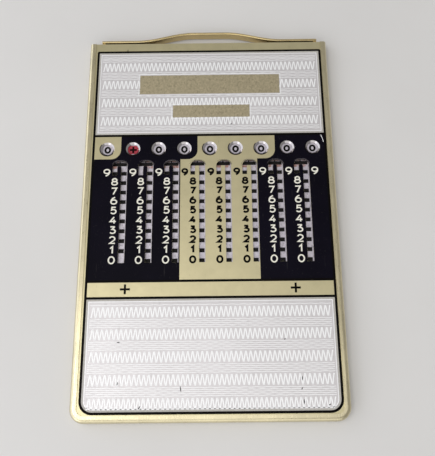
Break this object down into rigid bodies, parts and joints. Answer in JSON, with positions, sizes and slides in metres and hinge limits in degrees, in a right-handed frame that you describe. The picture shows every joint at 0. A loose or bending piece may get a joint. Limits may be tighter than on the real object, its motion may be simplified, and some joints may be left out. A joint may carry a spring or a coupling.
{
  "type": "pocket slide adding machine",
  "caption": "Flat two-sided adding machine: toothed sliders in a slim metal case with round result windows, hooked slots and a reset bow.",
  "frame": {"origin": "under the middle of the overall box, in the plane of the back lips that it lies on", "axes": "+Z out of the front face, +Y towards the reset bow, +X to the right when the front is read"},
  "size_m": [0.1068, 0.1708, 0.0049],
  "materials": {
    "rim_brass": "satin lacquered brass sheet",
    "printed_plate": "litho printed sheet: gold and silver grounds under navy enamel",
    "guide_steel": "rolled sheet",
    "spacer_brass": "stamped sheet",
    "rivet_brass": "cut wire, riveted flush",
    "spring_bronze": "rolled spring strip",
    "bow_brass": "polished brass strip",
    "slider_metal": "bright rolled sheet with printed digits"
  },
  "bodies": {
    "case": {"rim": "rim_brass", "front_plate": "printed_plate", "back_plate": "printed_plate", "guide_plate": "guide_steel", "front_rail_left": "spacer_brass", "front_rail_right": "spacer_brass", "back_rail_left": "spacer_brass", "back_rail_right": "spacer_brass", "front_top_bar": "spacer_brass", "back_top_bar": "spacer_brass", "back_bottom_bar": "spacer_brass", "frame_rivets": "rivet_brass", "front_brake_spring": "spring_bronze", "back_brake_spring": "spring_bronze"},
    "reset_slide": {"reset_bow": "bow_brass", "reset_arm_left": "bow_brass", "reset_arm_right": "bow_brass", "reset_crossbar": "bow_brass", "reset_rivets": "rivet_brass"},
    "slider_1": {"add_rack_1": "slider_metal", "sub_rack_1": "slider_metal", "slider_core_1": "spacer_brass", "slider_rivets_1": "rivet_brass"},
    "slider_2": {"add_rack_2": "slider_metal", "sub_rack_2": "slider_metal", "slider_core_2": "spacer_brass", "slider_rivets_2": "rivet_brass"},
    "slider_3": {"add_rack_3": "slider_metal", "sub_rack_3": "slider_metal", "slider_core_3": "spacer_brass", "slider_rivets_3": "rivet_brass"},
    "slider_4": {"add_rack_4": "slider_metal", "sub_rack_4": "slider_metal", "slider_core_4": "spacer_brass", "slider_rivets_4": "rivet_brass"},
    "slider_5": {"add_rack_5": "slider_metal", "sub_rack_5": "slider_metal", "slider_core_5": "spacer_brass", "slider_rivets_5": "rivet_brass"},
    "slider_6": {"add_rack_6": "slider_metal", "sub_rack_6": "slider_metal", "slider_core_6": "spacer_brass", "slider_rivets_6": "rivet_brass"},
    "slider_7": {"add_rack_7": "slider_metal", "sub_rack_7": "slider_metal", "slider_core_7": "spacer_brass", "slider_rivets_7": "rivet_brass"},
    "slider_8": {"add_rack_8": "slider_metal", "sub_rack_8": "slider_metal", "slider_core_8": "spacer_brass", "slider_rivets_8": "rivet_brass"},
    "slider_9": {"add_rack_9": "slider_metal", "sub_rack_9": "slider_metal", "slider_core_9": "spacer_brass", "slider_rivets_9": "rivet_brass"}
  },
  "joints": [
    {"name": "reset_pull", "type": "slide", "parent": "case", "child": "reset_slide", "axis": [0, 1, 0], "range_m": [0, 0.0428]},
    {"name": "slider_1_slide", "type": "slide", "parent": "case", "child": "slider_1", "axis": [0, 1, 0], "range_m": [-0.0428, 0.00428]},
    {"name": "slider_2_slide", "type": "slide", "parent": "case", "child": "slider_2", "axis": [0, 1, 0], "range_m": [-0.04708, 0]},
    {"name": "slider_3_slide", "type": "slide", "parent": "case", "child": "slider_3", "axis": [0, 1, 0], "range_m": [-0.0428, 0.00428]},
    {"name": "slider_4_slide", "type": "slide", "parent": "case", "child": "slider_4", "axis": [0, 1, 0], "range_m": [-0.0428, 0.00428]},
    {"name": "slider_5_slide", "type": "slide", "parent": "case", "child": "slider_5", "axis": [0, 1, 0], "range_m": [-0.0428, 0.00428]},
    {"name": "slider_6_slide", "type": "slide", "parent": "case", "child": "slider_6", "axis": [0, 1, 0], "range_m": [-0.0428, 0.00428]},
    {"name": "slider_7_slide", "type": "slide", "parent": "case", "child": "slider_7", "axis": [0, 1, 0], "range_m": [-0.0428, 0.00428]},
    {"name": "slider_8_slide", "type": "slide", "parent": "case", "child": "slider_8", "axis": [0, 1, 0], "range_m": [-0.0428, 0.00428]},
    {"name": "slider_9_slide", "type": "slide", "parent": "case", "child": "slider_9", "axis": [0, 1, 0], "range_m": [-0.0428, 0.00428]}
  ]
}
